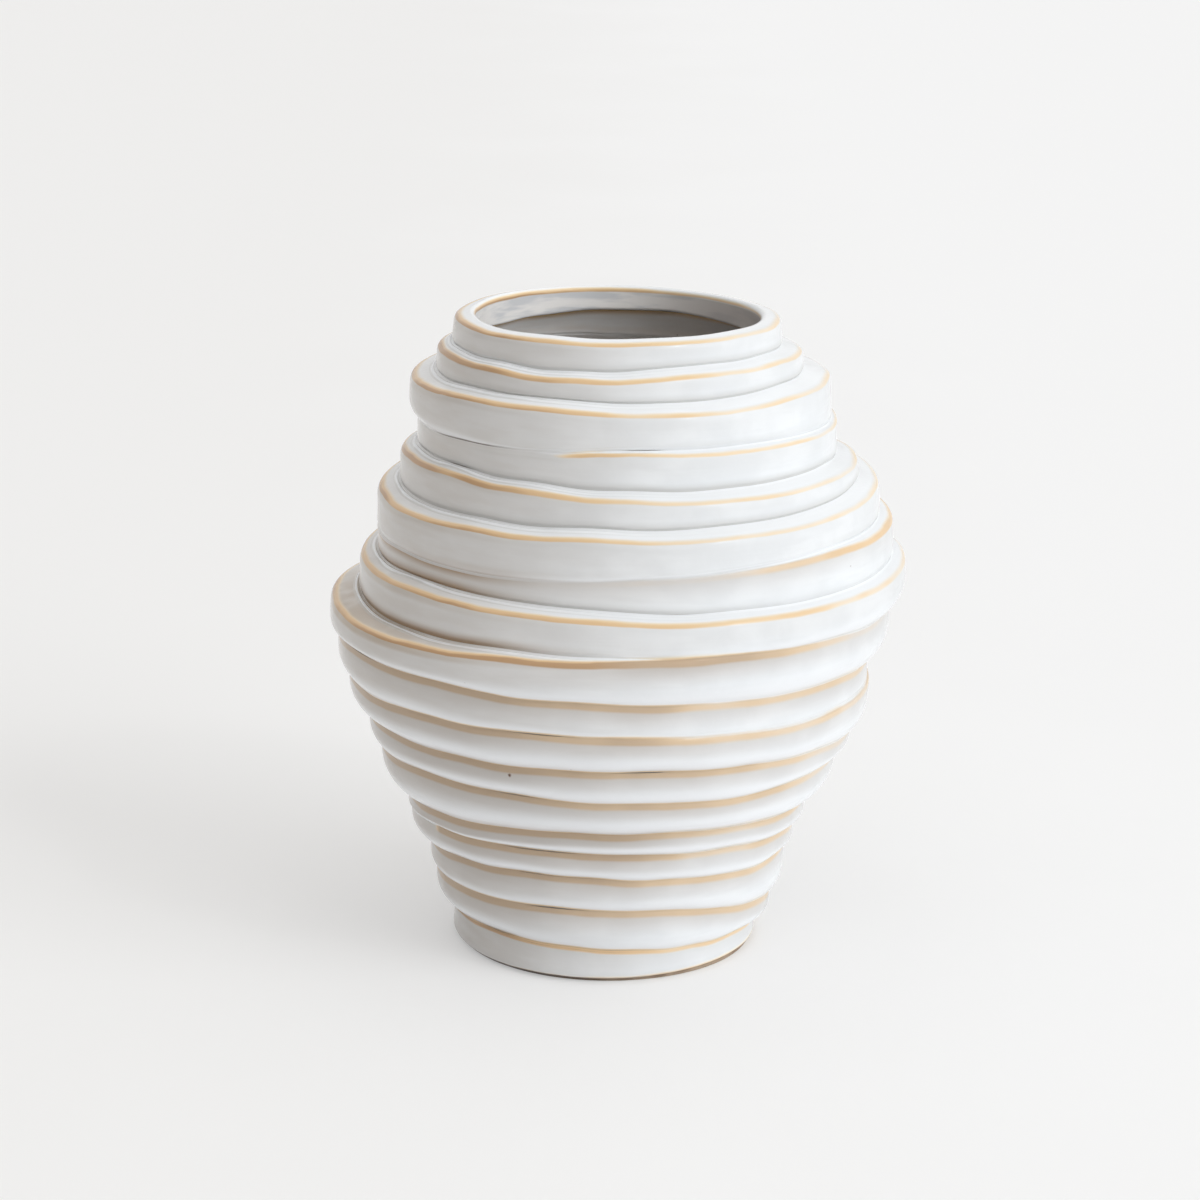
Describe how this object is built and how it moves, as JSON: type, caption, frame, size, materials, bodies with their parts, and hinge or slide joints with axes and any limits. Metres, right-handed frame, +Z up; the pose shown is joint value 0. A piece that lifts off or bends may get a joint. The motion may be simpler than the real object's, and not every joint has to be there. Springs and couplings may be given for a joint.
{
  "type": "stacked-ring vase",
  "caption": "Round-bellied vase built of stacked, uneven clay rings, widest at mid-height, with an open mouth, white glaze and a bare clay foot.",
  "frame": {"origin": "centre of the foot ring's resting face, on the surface that the vase stands on", "axes": "+Z up through the mouth, +X to the vase's right, -Y to the front, the side where the ledge of the widest ring fades"},
  "size_m": [0.2681, 0.259, 0.3],
  "materials": {
    "white_glaze": "gloss",
    "bare_clay": "matt"
  },
  "bodies": {
    "root": {"foot_ring": "bare_clay", "base": "white_glaze", "ring_02": "white_glaze", "ring_03": "white_glaze", "ring_04": "white_glaze", "ring_05": "white_glaze", "ring_06": "white_glaze", "ring_07": "white_glaze", "ring_08": "white_glaze", "ring_09": "white_glaze", "ring_10": "white_glaze", "ring_11": "white_glaze", "ring_12": "white_glaze", "ring_13": "white_glaze", "ring_14": "white_glaze", "ring_15": "white_glaze", "ring_16": "white_glaze", "ring_17": "white_glaze", "rim": "white_glaze"}
  },
  "joints": []
}
